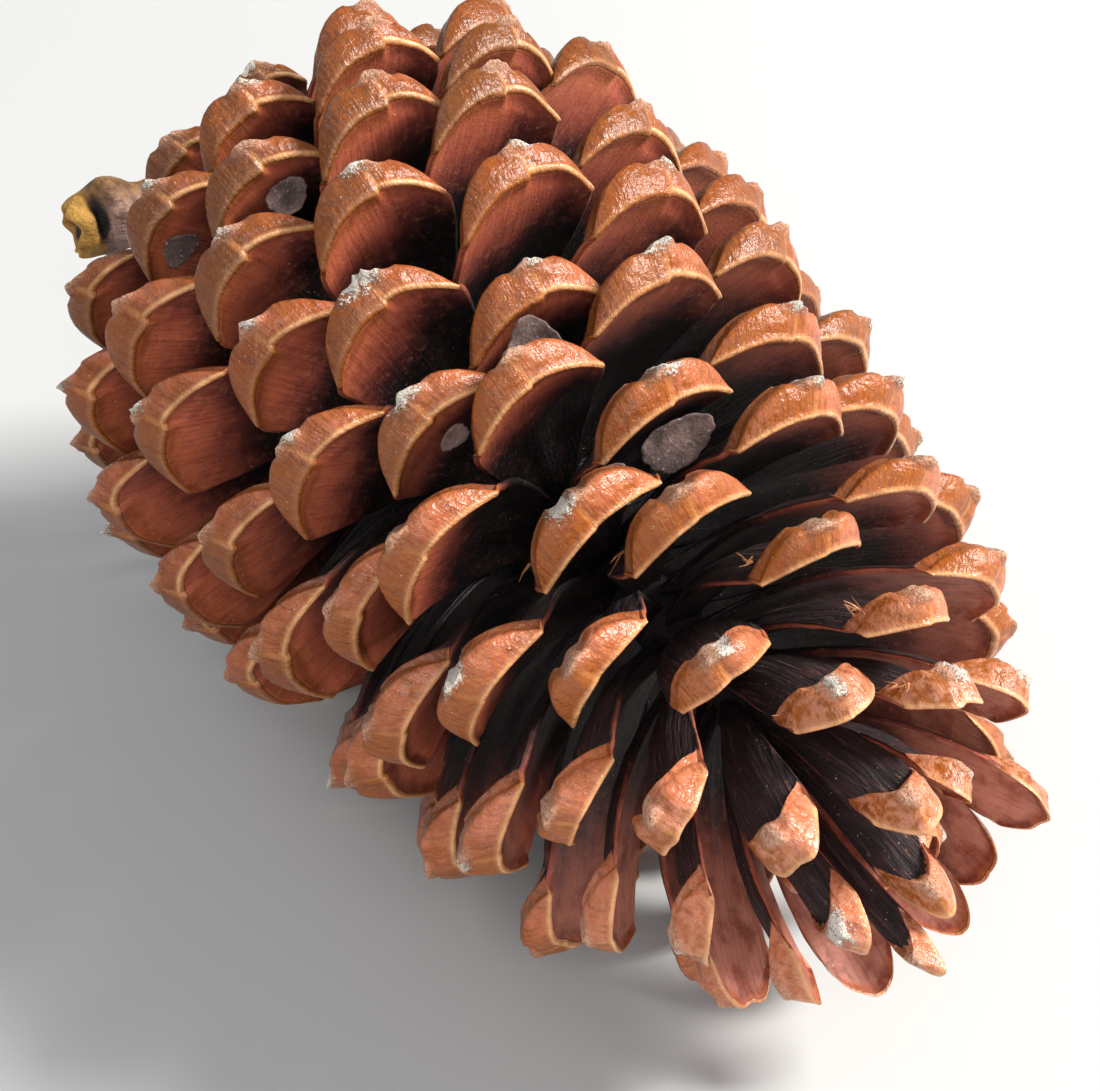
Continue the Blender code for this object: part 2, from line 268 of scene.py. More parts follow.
class Value:
    """A number socket that takes part in plain Python sums."""

    def __init__(self, finish, socket):
        self.finish = finish
        self.socket = socket

    def join(self, operation, first, second):
        """A Math node on two values."""
        return self.finish.add("ShaderNodeMath", {"operation": operation}, {0: first, 1: second})

    def __add__(self, other):
        return self.join("ADD", self, other)

    def __radd__(self, other):
        return self.join("ADD", other, self)

    def __sub__(self, other):
        return self.join("SUBTRACT", self, other)

    def __rsub__(self, other):
        return self.join("SUBTRACT", other, self)

    def __mul__(self, other):
        return self.join("MULTIPLY", self, other)

    def __rmul__(self, other):
        return self.join("MULTIPLY", other, self)

    def __truediv__(self, other):
        return self.join("DIVIDE", self, other)


class Finish:
    """A material under way: add() places any node and hands back its output."""

    def __init__(self, name):
        self.material = bpy.data.materials.new(name)
        self.material.use_nodes = True
        self.tree = self.material.node_tree
        self.shader = self.tree.nodes["Principled BSDF"]

    def add(self, kind, settings=None, inputs=None, output=0):
        """A node with its settings made first, then its sockets."""
        node = self.tree.nodes.new(kind)
        for name, setting in (settings or {}).items():
            if name == "stops":
                self.set_stops(node.color_ramp, setting)
            else:
                setattr(node, name, setting)
        for name, value in (inputs or {}).items():
            self.plug(node.inputs[name], value)
        return Value(self, node.outputs[output])

    def plug(self, socket, value):
        """Links a value to a socket, or sets a plain one."""
        if isinstance(value, Value):
            self.tree.links.new(value.socket, socket)
        else:
            socket.default_value = value

    def set_stops(self, ramp, stops):
        """Places and colours of a colour ramp."""
        while len(ramp.elements) < len(stops):
            ramp.elements.new(0.5)
        for element, (place, colour) in zip(ramp.elements, stops):
            element.position = place
            element.color = colour

    def mix(self, amount, first, second):
        """Colour between two colours."""
        return self.add("ShaderNodeMix", {"data_type": "RGBA"}, {0: amount, 6: first, 7: second}, 2)

    def shade(self, amount, colour, tint):
        """Colour times a tint."""
        settings = {"data_type": "RGBA", "blend_type": "MULTIPLY"}
        return self.add("ShaderNodeMix", settings, {0: amount, 6: colour, 7: tint}, 2)

    def steps(self, value, low, high):
        """0 below low, 1 above high, with a smooth way between."""
        settings = {"interpolation_type": "SMOOTHSTEP"}
        return self.add("ShaderNodeMapRange", settings, {0: value, 1: low, 2: high})

    def noise(self, place, scale, detail, roughness=0.5, stretch=(1.0, 1.0, 1.0)):
        """Soft noise from 0 to 1 over a place."""
        spread = self.add("ShaderNodeVectorMath", {"operation": "MULTIPLY"}, {0: place, 1: stretch})
        values = {"Vector": spread, "Scale": scale, "Detail": detail, "Roughness": roughness}
        return self.add("ShaderNodeTexNoise", None, values)

    def attribute(self, name, output="Color"):
        """Look value that the mesh carries at each vertex."""
        return self.add("ShaderNodeAttribute", {"attribute_name": name}, None, output)

    def parts(self, value):
        """The three numbers of a colour."""
        first = self.add("ShaderNodeSeparateColor", None, {0: value})
        return [Value(self, socket) for socket in first.socket.node.outputs]

    def bump(self, height, distance, strength):
        """Low relief that is too fine for the mesh."""
        values = {"Strength": strength, "Distance": distance, "Height": height}
        return self.add("ShaderNodeBump", None, values)

    def done(self, **sockets):
        """The material, once its shader's sockets are set."""
        for name, value in sockets.items():
            self.plug(self.shader.inputs[name.replace("_", " ")], value)
        return self.material


def colour(red, green, blue):
    """Opaque colour."""
    return (red, green, blue, 1.0)


# Wood of the scales

def scale_finish():
    """Caps olive brown to orange, one side pinker partly by painted light, a painted highlight on the
    rim bead; upper faces red-brown, dark inwards partly by painted shade, with painted shade on one
    side; backs black and fibrous.

    Each vertex carries zone (way in from the rim, way from face to back, painted rim highlight), tone
    (age, resin, umbo, share up the cone) and mark (half, crease, place across, how crisp the rim is).
    """
    wood = Finish("scale_wood")
    local = wood.attribute("local", "Vector")
    inward, level, rim = wood.parts(wood.attribute("zone"))
    tone, resin, umbo = wood.parts(wood.attribute("tone"))
    half, crease, place = wood.parts(wood.attribute("mark"))
    blotch = wood.noise(local, 0.35, 2.0)
    patch = wood.noise(local, 1.1, 3.0)
    fine = wood.noise(local, 3.0, 3.0, 0.6)
    grain = wood.noise(local, 7.0, 2.0, 0.7)
    fibre = wood.noise(local, 1.0, 3.0, 0.6, (0.12, 2.4, 1.0))
    ray = wood.noise(local, 1.0, 2.0, 0.6, (0.3, 3.2, 0.25))

    # where the cap ends and the back begins, with a frayed edge
    splinter = wood.noise(local, 1.0, 2.0, 0.7, (0.22, 2.2, 1.0))
    limit = 0.012 + level * 0.050
    edge = inward + (splinter - 0.5) * level * 0.07
    cap = 1.0 - wood.steps(edge / limit, 0.88, 1.12)
    back = wood.steps(level, 0.45, 0.75) * (1.0 - cap)

    # how near the apex the scale grew, and how crisp its rim is
    ripe = wood.attribute("tone", "Alpha")
    late = wood.steps(ripe, 0.66, 0.88)
    crisp = wood.attribute("mark", "Alpha")

    # caps: olive brown near the base, orange on one half and pinker on the other, the pink side partly
    # their own colour and partly painted light
    pink_and_painted_light = half * 0.34 + place * 0.30 + (blotch - 0.5) * 1.1 + (tone - 0.5) * 0.35
    pink = wood.steps(pink_and_painted_light, 0.32, 0.80)
    old = wood.steps((patch - 0.5) * 1.1 - (tone - 0.42) * 1.3 - (half - 0.5) * 0.25, 0.0, 0.45)
    cap_colour = wood.mix(pink, colour(0.34, 0.088, 0.008), colour(0.55, 0.165, 0.070))
    cap_colour = wood.mix(wood.steps(patch, 0.42, 0.70) * 0.50, cap_colour, colour(0.37, 0.070, 0.014))
    cap_colour = wood.mix(old * 0.62, cap_colour, colour(0.170, 0.064, 0.014))
    cap_colour = wood.mix(wood.steps(ray, 0.48, 0.72) * 0.52, cap_colour, colour(0.13, 0.026, 0.007))
    cap_colour = wood.mix(wood.steps(fine, 0.56, 0.74) * 0.30, cap_colour, colour(0.66, 0.29, 0.13))
    cap_colour = wood.mix(wood.steps(grain, 0.60, 0.72) * 0.34, cap_colour, colour(0.13, 0.035, 0.010))
    near_base = 1.0 - wood.steps(ripe, 0.30, 0.75)
    cap_colour = wood.shade(near_base * 0.9, cap_colour, colour(0.74, 0.68, 0.58))
    cap_colour = wood.mix(crease * 0.60, cap_colour, colour(0.66, 0.28, 0.08))

    # a pale crusty umbo, a painted highlight on the lip at the rim, a dark underside and pale patches
    # near the apex
    umbo_grain = wood.steps(fine, 0.36, 0.60)
    umbo_colour = wood.mix(umbo_grain, colour(0.50, 0.21, 0.105), colour(0.84, 0.55, 0.38))
    cap_colour = wood.mix(umbo * 0.80, cap_colour, umbo_colour)
    lip = rim * (0.55 + wood.steps(blotch, 0.35, 0.65) * 0.45)
    cap_colour = wood.mix(lip, cap_colour, colour(0.84, 0.44, 0.19))
    underneath = wood.steps(level, 0.78, 0.90) * (1.0 - late * 0.85)
    cap_colour = wood.mix(underneath * 0.60, cap_colour, colour(0.10, 0.036, 0.014))
    pale = wood.steps(ripe, 0.76, 0.90) * wood.steps(patch, 0.40, 0.60) * 0.45
    cap_colour = wood.mix(pale, cap_colour, colour(0.74, 0.34, 0.21))

    # dried resin: white grains in a tan crust
    crumbs = wood.steps(resin + (fine - 0.5) * 1.9 + (grain - 0.5) * 1.1, 0.52, 0.64)
    resin_grain = wood.steps(grain, 0.38, 0.50)
    resin_colour = wood.mix(resin_grain, colour(0.66, 0.43, 0.26), colour(1.0, 0.95, 0.84))

    # upper face: red-brown at the rim, black towards the root, partly its own colour and partly painted
    # shade, and painted shade on one side
    shaded = wood.steps(place, 0.42, 0.95) * (1.0 - late) * 0.22
    depth = inward * (1.0 - late * 0.45) + (blotch - 0.5) * 0.16 + shaded
    face_ramp = wood.add("ShaderNodeValToRGB", {"stops": (
        (0.0, colour(0.44, 0.110, 0.040)),
        (0.030, colour(0.20, 0.036, 0.018)),
        (0.075, colour(0.52, 0.125, 0.058)),
        (0.20, colour(0.37, 0.080, 0.044)),
        (0.33, colour(0.110, 0.022, 0.017)),
        (0.45, colour(0.018, 0.007, 0.008)),
        (1.0, colour(0.006, 0.003, 0.004)),
    )}, {0: depth})
    plain_rim = (1.0 - crisp) * (1.0 - wood.steps(inward, 0.05, 0.12))
    face_ramp = wood.mix(plain_rim * 0.85, face_ramp, colour(0.40, 0.095, 0.032))
    mauve = late * (1.0 - wood.steps(depth, 0.16, 0.36)) * wood.steps(inward, 0.02, 0.07)
    mauve = mauve * (1.0 - wood.steps(level, 0.03, 0.30))
    mauve_blotch = wood.steps(blotch, 0.42, 0.66)
    mauve_colour = wood.mix(mauve_blotch, colour(0.56, 0.21, 0.14), colour(0.32, 0.085, 0.050))
    face_ramp = wood.mix(mauve * 0.80, face_ramp, mauve_colour)
    face_colour = wood.shade(wood.steps(fibre, 0.35, 0.8) * 0.55, face_ramp, colour(0.40, 0.30, 0.34))
    face_colour = wood.mix(wood.steps(patch, 0.50, 0.75) * 0.28, face_colour, colour(0.56, 0.19, 0.095))

    # upper face: thin dark cracks, painted shade darkening it further in, and pale dust
    off_crack = patch - 0.47
    crack = 1.0 - wood.steps(off_crack * off_crack, 0.0, 0.0007)
    crack = crack * wood.steps(blotch, 0.45, 0.62)
    face_colour = wood.shade(crack * 0.40, face_colour, colour(0.35, 0.26, 0.26))
    face_colour = wood.shade(wood.steps(depth, 0.30, 0.48), face_colour, colour(0.30, 0.26, 0.28))
    dusty = wood.steps(grain, 0.66, 0.73) * 0.35
    face_colour = wood.mix(dusty, face_colour, colour(0.36, 0.15, 0.09))

    # back: black with brown fibres, warmer near the cap
    back_ramp = wood.add("ShaderNodeValToRGB", {"stops": (
        (0.0, colour(0.003, 0.003, 0.003)),
        (0.44, colour(0.008, 0.004, 0.005)),
        (0.60, colour(0.030, 0.013, 0.014)),
        (0.76, colour(0.15, 0.090, 0.085)),
    )}, {0: fibre})
    warm = wood.steps(blotch, 0.50, 0.75) * (1.0 - wood.steps(inward, 0.10, 0.55))
    back_ramp = wood.mix(warm * 0.55, back_ramp, colour(0.060, 0.016, 0.012))
    bare = wood.steps(patch, 0.66, 0.74) * late * 0.5
    back_ramp = wood.mix(bare, back_ramp, colour(0.28, 0.12, 0.045))

    # all together, with pale crumbs and the resin on top
    body = wood.mix(back, face_colour, back_ramp)
    body = wood.mix(cap, body, cap_colour)
    crumb = wood.noise(local, 4.2, 1.0, 0.4)
    body = wood.mix(wood.steps(crumb, 0.775, 0.80) * 0.85, body, colour(0.86, 0.72, 0.60))
    body = wood.mix(crumbs, body, resin_colour)

    rough = 0.52 - cap * (0.20 + pink * 0.10) + back * 0.14 + crumbs * 0.2 + umbo * 0.10
    rough = rough + (fine - 0.5) * 0.4
    height = fine * 0.35 + (ray * 0.5 + patch * 1.3) * cap + fibre * (back * 2.8 + 0.4)
    height = height + crumbs * (0.9 + grain * 2.2)
    height = height + umbo * (fine * 2.4 + grain)
    normal = wood.bump(height, 0.00024, 0.9)
    return wood.done(Base_Color=body, Roughness=rough, Normal=normal)


def plain_wood(name, dark, light, rough):
    """Mottled wood for the core and the splinters."""
    wood = Finish(name)
    place = wood.add("ShaderNodeTexCoord", None, None, "Object")
    blotch = wood.noise(place, 300.0, 4.0, 0.6)
    fine = wood.noise(place, 1500.0, 3.0, 0.6)
    mixed = wood.mix(wood.steps(blotch + (fine - 0.5) * 0.4, 0.35, 0.65), dark, light)
    normal = wood.bump(blotch + fine * 0.5, 0.0005, 0.8)
    return wood.done(Base_Color=mixed, Roughness=rough, Normal=normal)


# Scales

# Where the block of a scale is cut: along it, across it and from its back to its upper face
ROWS_ALONG = (
    0.10, 0.22, 0.34, 0.45, 0.54, 0.62, 0.69, 0.75, 0.80, 0.84,
    0.87, 0.895, 0.915, 0.932, 0.947, 0.96, 0.971, 0.981, 0.99, 0.996,
)
ROWS_ACROSS = (
    -0.985, -0.95, -0.88, -0.80, -0.71, -0.61, -0.51, -0.41, -0.32, -0.24, -0.17, -0.11, -0.06, -0.02,
    0.02, 0.06, 0.11, 0.17, 0.24, 0.32, 0.41, 0.51, 0.61, 0.71, 0.80, 0.88, 0.95, 0.985,
)
ROWS_THICK = (0.96, 0.88, 0.76, 0.60, 0.42, 0.22, 0.02, -0.16, -0.30, -0.42, -0.54, -0.68, -0.84)

# Height of the cap along its half width, as a share of its full height
CAP_SIDES = (0.0, 0.30, 0.55, 0.75, 0.88, 1.0)
CAP_SHARES = (1.0, 0.98, 0.93, 0.78, 0.55, 0.15)

# How much of the cap lies under its keel, and where the keel is on the way from face to back
UNDER_SHARE = 0.15
KEEL = 0.74

# Other shapes of a scale, in millimetres
ROOT_HEIGHT = 0.9
BLADE_THIN = 0.75
BLADE_KEEL = 1.15
LIP_HEIGHT = 0.20
GROOVE_DEPTH = 0.16
BEAD_GROOVE = 0.14
CAP_PROUD = 1.35
KNOB_HALF = 1.9
KNOB_PROUD = 0.62
CREASE_DEPTH = 0.12
RESIN_PROUD = 0.22

# Shares of a scale's own size: the rim's height and fall at the sides, and where the front starts
RIM_SHARE = 0.42
RIM_FALL = 0.135
FRONT_FROM = 0.93

# Reach that counts as 1 in the look values, and the steps between two scales' patterns
LOOK_REACH = 33.0
LOOK_STEPS = (61.0, 17.0, 29.0)

# How far the keel of the caps near the apex lies behind their rim, in millimetres
SLANT = 4.6
SLANT_FROM = 0.77
SLANT_FULL = 0.89

# Dried resin on a cap: scale index, place across the umbo and half width, in millimetres
RESIN = {
    21: (0.0, 1.2),
    42: (0.4, 1.3),
    50: (1.0, 1.9),
    55: (-0.4, 1.2),
    58: (-1.2, 1.8),
    63: (1.0, 3.2),
    68: (-0.8, 1.2),
    76: (0.4, 2.4),
    79: (0.6, 1.9),
    87: (0.3, 1.6),
    92: (-1.0, 1.6),
    95: (0.0, 1.4),
    100: (-0.6, 1.2),
    102: (-1.2, 1.8),
    118: (-1.8, 1.2),
    126: (0.0, 1.0),
}
RESIN_CHANCE = 0.22


def cut_rows(rows, normal):
    """Cuts the whole mesh in edit mode square to an axis, at each place in rows."""
    for place in rows:
        bpy.ops.mesh.select_all(action="SELECT")
        bpy.ops.mesh.bisect(plane_co=[place * step for step in normal], plane_no=normal)


def model_scale_blank():
    """Block of one scale cut into rows: x from root to rim, y across, z from back to upper face."""
    bpy.ops.object.select_all(action="DESELECT")
    bpy.ops.mesh.primitive_cube_add(size=2.0)
    blank = bpy.context.object
    blank.name = "scale_blank"
    bpy.ops.object.mode_set(mode="EDIT")
    cut_rows([2.0 * row - 1.0 for row in ROWS_ALONG], (1.0, 0.0, 0.0))
    cut_rows(ROWS_ACROSS, (0.0, 1.0, 0.0))
    cut_rows(ROWS_THICK, (0.0, 0.0, 1.0))
    bpy.ops.object.mode_set(mode="OBJECT")
    return blank


def bell(value, middle, spread):
    """1 at the middle, fading to 0 on both sides."""
    return np.exp(-((value - middle) / spread) ** 2)


def ramp(value, low, high):
    """0 below low, 1 above high, with a smooth way between."""
    fraction = np.clip((value - low) / (high - low), 0.0, 1.0)
    return fraction * fraction * (3.0 - 2.0 * fraction)


def waves(draw, place, count, low, high):
    """Sum of a few seeded sine waves over a place, about -1 to 1."""
    total = np.zeros_like(place)
    for _ in range(count):
        total += np.sin(place * draw.uniform(low, high) + draw.uniform(0.0, 2.0 * math.pi))
    return total / count


def bowed(index, along, thick):
    """Where points of a straight blade lie on the bowed one."""
    reach = blade_reach(index)
    part = np.clip(along / reach, 0.0, 1.0)
    slope = np.arctan(bow_slope(index) * (2.0 * part - 1.0))
    sag = bow_slope(index) * reach * part * (part - 1.0) + (along - part * reach) * np.tan(slope)
    return along - thick * np.sin(slope), sag + thick * np.cos(slope)


def shape_scale(index, x, y, z):
    """Places of one scale's vertices in millimetres, and its look values, from the blank's rows."""
    draw = random.Random(SEED * 5000 + index)
    size = unevenness(index)[3]
    reach = blade_reach(index)
    wide = half_width(index) * size
    cap = cap_height(index) * size * draw.uniform(0.93, 1.07)
    width_share = wide / HALF_WIDTH
    sunk = ROOT_SUNK * core_radius(index)
    umbo_side = 0.35 * share(index) - 0.26 + draw.uniform(-0.07, 0.07)
    side = y + umbo_side * (1.0 - y * y)
    out = np.abs(side)
    off_side = (side - umbo_side) * wide
    back = (1.0 - z) / 2.0
    behind = (1.0 - x) * reach

    # the rim's bead, and the highlight painted on it, fade on one side of the crease on the scales
    # nearer the base
    fading = 0.8 * min(1.0, max(0.0, (0.62 - share(index)) / 0.15))
    bead_share = 1.0 - fading * ramp(off_side, -0.35, 0.0)

    # outline seen from above
    slanted = min(1.0, max(0.0, (share(index) - SLANT_FROM) / (SLANT_FULL - SLANT_FROM)))
    rim_place = reach * (1.0 - RIM_FALL * out ** 2.7)
    rough_rim = waves(draw, side * wide, 3, 0.3, 1.3 + 0.8 * slanted)
    rim_place = rim_place + (0.16 + 0.40 * slanted) * rough_rim
    at_front = ramp(x, FRONT_FROM, 1.0)
    widest = 0.235 + 0.765 * (1.0 - (1.0 - x) ** 1.75) - 0.05 * at_front
    margin = 1.0 + 0.014 * waves(draw, x * 20.0, 3, 0.5, 1.4) * ramp(x, 0.4, 0.7)
    across = side * wide * widest * margin * (1.0 - 0.05 * z ** 4)

    # hollow upper face: rises to the rim and to both sides, with a low lip and a groove behind it
    upper = ROOT_HEIGHT + (RIM_SHARE * cap - ROOT_HEIGHT) * ramp(x, 0.15, 1.0)
    upper = upper + EDGE_LIFT * width_share * side ** 2 * x ** 2
    lip = LIP_HEIGHT * bell(behind, 0.0, 0.55) - GROOVE_DEPTH * bell(behind, 1.7, 0.7)
    upper = upper + bead_share * lip
    hollow = bell(out, 0.45, 0.28) * bell(x, 0.42, 0.18)
    upper = upper - 0.35 * width_share * hollow
    upper = upper + 0.07 * waves(draw, behind * 0.9 + side * 2.0, 3, 0.5, 1.5)

    # thickness: a thin blade, a keel down the middle of its back, and the thick cap
    middle = np.clip(1.0 - out ** 2.2, 0.0, 1.0)
    blade = BLADE_THIN + BLADE_KEEL * middle * (1.0 - 0.35 * x)
    dip = 0.5 * (np.tanh((off_side + 2.2) / 0.40) - np.tanh((off_side - 2.1) / 0.22))
    full = cap * np.interp(out, CAP_SIDES, CAP_SHARES)
    full = full * (1.0 + 0.05 * waves(draw, side * 3.0, 3, 0.6, 2.4))
    full = full - cap * (0.13 * dip - 0.11 * bell(off_side, draw.uniform(-0.5, 0.3), 1.1))
    full = np.maximum(full, 0.25 * width_share)
    front = full * (1.0 - UNDER_SHARE)
    under = full * UNDER_SHARE
    step_place = 1.5 + 0.5 * waves(draw, side * 9.0, 3, 0.5, 2.0)
    swell = 1.0 - ramp(behind, 0.3, 6.0 * width_share + 0.5)
    step = 0.32 * ramp(behind, step_place, step_place + 0.9) * (1.0 - ramp(behind, 6.0, 12.0))
    fibres = 0.10 * waves(draw, across * 3.2 + 0.15 * behind, 4, 0.7, 1.8) * ramp(behind, 1.5, 3.5)
    thickness = blade + (full - blade) * swell - step * middle + fibres * ramp(back, 0.5, 0.9)

    # cap front: down to the keel, then tucked under
    to_keel = np.clip(back / KEEL, 0.0, 1.0)
    past_keel = np.clip((back - KEEL) / (1.0 - KEEL), 0.0, 1.0) * 0.5 * math.pi
    drop = np.where(back < KEEL, front * to_keel, front + under * np.sin(past_keel)) / full
    proud = CAP_PROUD * width_share ** 0.6 * middle ** 0.7
    tuck = (0.5 + 2.4 * middle) * width_share
    bulge = np.where(back < KEEL, proud * np.sin(0.5 * math.pi * to_keel ** 0.9),
                     proud - tuck * (1.0 - np.cos(past_keel)))

    # knobbed umbo, the crease above it and the bead along the rim
    off_back = drop * full - 0.94 * cap
    knob_half = KNOB_HALF * width_share ** 0.5
    knob = np.exp(-((off_side / knob_half) ** 4 + (off_back / (0.6 * knob_half)) ** 4))
    saddle = bell(np.abs(off_side), 1.24 * knob_half, 0.50) * bell(off_back, 0.0, 1.4)
    crust = waves(draw, off_side * 2.6 + off_back * 1.7, 3, 0.7, 2.2)
    crust = crust + waves(draw, off_back * 4.1 - off_side, 3, 0.6, 1.7)
    crease = bell(off_side, 0.0, 0.22) * (1.0 - ramp(back, 0.42, 0.60))
    bead = LIP_HEIGHT * bell(drop * full, 0.32, 0.30) - BEAD_GROOVE * bell(drop * full, 0.95, 0.40)
    bead = bead_share * bead
    lobes = 0.12 * waves(draw, off_side * 0.9 + off_back * 0.7, 3, 0.5, 1.6)
    relief = KNOB_PROUD * knob * (1.0 + 0.34 * crust) - KNOB_PROUD * saddle - CREASE_DEPTH * crease
    swell_out = bulge + (relief + bead + lobes) * width_share
    slant = SLANT * slanted * (0.35 + 0.65 * width_share) * to_keel * ramp(x, 0.45, 1.0)

    # dried resin stands on the cap as a crust
    if index in RESIN:
        resin_off, resin_half = RESIN[index]
    else:
        resin_off, resin_half = draw.uniform(-1.5, 1.5), draw.uniform(0.8, 1.8)
        if draw.random() > RESIN_CHANCE:
            resin_half = 0.01
    resin = bell(off_side, resin_off, resin_half) * bell(off_back, -0.3, 0.55 + 0.35 * resin_half)
    resin = resin * (1.0 + 0.35 * crust) * at_front
    swell_out = swell_out + resin * (RESIN_PROUD + 0.16 * crust)
    along = x * rim_place + swell_out * at_front - slant

    # the rim's two halves meet in a step at the crease
    jump = min(1.0, max(0.14, 1.9 * (0.78 - share(index)))) * width_share
    rim_step = 0.5 * jump * np.tanh(off_side / 0.20) * np.exp(-np.abs(off_side) / 4.5)
    rim_step = rim_step * bell(behind, 0.0, 1.4) * (1.0 - ramp(back, 0.12, 0.55))
    thick = upper - thickness * drop + rim_step
    thick = thick - 0.12 * bell(behind, 0.0, 0.3) * bell(back, 0.0, 0.10)
    thick = thick - 0.10 * crust * knob * at_front * drop
    along = np.where(x < 0.001, -sunk, along)
    along, thick = bowed(index, along, thick)

    # look values, each scale with a place of its own in the patterns
    places = np.stack([along, across, thick], 1)
    away = (index, index % 13, index % 7)
    local = places + np.array(LOOK_STEPS) * np.array(away)
    whole = np.ones_like(x)
    # painted highlight along the rim bead, carried to the material in zone
    painted_rim_highlight = bell(behind, 0.0, 0.30) * bell(drop * full, 0.28, 0.26)
    zone = np.stack([behind / LOOK_REACH, back, painted_rim_highlight * bead_share, whole], 1)
    age = 0.62 * share(index) + 0.38 * draw.random()
    tone = np.stack([whole * age, resin, knob * at_front, whole * share(index)], 1)
    half = 0.5 - 0.5 * np.tanh(off_side / 0.4)
    place = np.clip(0.5 - 0.5 * side, 0.0, 1.0)
    mark = np.stack([half, crease * at_front, place, bead_share], 1)
    return places, {"local": local, "zone": zone, "tone": tone, "mark": mark}


def lay_places(places, matrix):
    """Places in millimetres moved by a matrix."""
    turned = np.array(matrix)
    return places @ turned[:3, :3].T + turned[:3, 3]


def dress_mesh(mesh, name, values):
    """Look values of three numbers or four at each vertex."""
    plain = values.shape[1] == 3
    layer = mesh.attributes.new(name, "FLOAT_VECTOR" if plain else "FLOAT_COLOR", "POINT")
    field = "vector" if plain else "color"
    layer.data.foreach_set(field, values.astype(np.float32).ravel())


def make_scales(material):
    """A copy of the blank for every scale, shaped and laid in place, joined in a few pieces."""
    blank = model_scale_blank()
    count = len(blank.data.vertices)
    rows = np.empty(count * 3)
    blank.data.vertices.foreach_get("co", rows)
    rows = rows.reshape(-1, 3)
    x = (rows[:, 0] + 1.0) / 2.0
    groups = [[] for _ in range(SCALE_GROUPS)]
    for index in range(SCALE_COUNT):
        places, looks = shape_scale(index, x, rows[:, 1], rows[:, 2])
        mesh = blank.data.copy()
        laid = lay_places(places, POSE @ scale_frame(index))
        laid[:, 2] = np.maximum(laid[:, 2], 0.0)
        mesh.vertices.foreach_set("co", laid.ravel())
        for name, values in looks.items():
            dress_mesh(mesh, name, values)
        copy = bpy.data.objects.new(f"scale_{index}", mesh)
        bpy.context.scene.collection.objects.link(copy)
        groups[index * SCALE_GROUPS // SCALE_COUNT].append(copy)
    bpy.data.objects.remove(blank)
    for number, group in enumerate(groups, 1):
        bpy.ops.object.select_all(action="DESELECT")
        for copy in group:
            copy.select_set(True)
        bpy.context.view_layer.objects.active = group[0]
        bpy.ops.object.join()
        piece = bpy.context.object
        piece.name = f"scales_{number}"
        bpy.ops.object.mode_set(mode="EDIT")
        bpy.ops.mesh.select_all(action="SELECT")
        bpy.ops.mesh.normals_make_consistent(inside=False)
        bpy.ops.object.mode_set(mode="OBJECT")
        finish_piece(piece, material, "pine_wood", 50.0, "cone")


def finish_piece(piece, material, slot, smooth_angle, *nodes):
    """Material, smooth shading, a place under the root body and the CAD nodes it stands for hidden, for
    a finished piece.
    """
    bpy.ops.object.select_all(action="DESELECT")
    piece.select_set(True)
    bpy.context.view_layer.objects.active = piece
    bpy.ops.object.shade_smooth_by_angle(angle=math.radians(smooth_angle))
    piece.data.materials.clear()
    piece.data.materials.append(material)
    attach(piece, "root")
    if nodes:
        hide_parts(*nodes)


# Core and stump

CORE_SIDES = 32
CORE_RINGS = 30
STUMP_SIDES = 24
STUMP_INSET = 1.2


def lay_mesh(piece, matrix):
    """Moves a finished mesh in place and leaves its object at the origin."""
    bpy.ops.object.select_all(action="DESELECT")
    piece.select_set(True)
    bpy.context.view_layer.objects.active = piece
    bpy.ops.object.transform_apply(location=True, rotation=True, scale=True)
    piece.data.transform(matrix)


def make_core(material):
    """Rough tapered core under the roots of the scales."""
    height = SCALE_RISE * SCALE_COUNT + CORE_BELOW
    bpy.ops.object.select_all(action="DESELECT")
    bpy.ops.mesh.primitive_cone_add(vertices=CORE_SIDES, radius1=CORE_RADIUS_BASE,
                                    radius2=CORE_RADIUS_TOP, depth=height,
                                    location=(0.0, 0.0, height / 2.0 - CORE_BELOW))
    core = bpy.context.object
    core.name = "core"
    bpy.ops.object.mode_set(mode="EDIT")
    bpy.ops.mesh.select_all(action="SELECT")
    cut_rows([height * (step / CORE_RINGS - 0.5) for step in range(1, CORE_RINGS)], (0.0, 0.0, 1.0))
    bpy.ops.object.mode_set(mode="OBJECT")
    draw = random.Random(SEED)
    for vertex in core.data.vertices:
        swell = 1.0 + draw.uniform(-0.04, 0.04)
        vertex.co.x *= swell
        vertex.co.y *= swell
    lay_mesh(core, POSE)
    finish_piece(core, material, "pine_wood", 60.0, "cone")


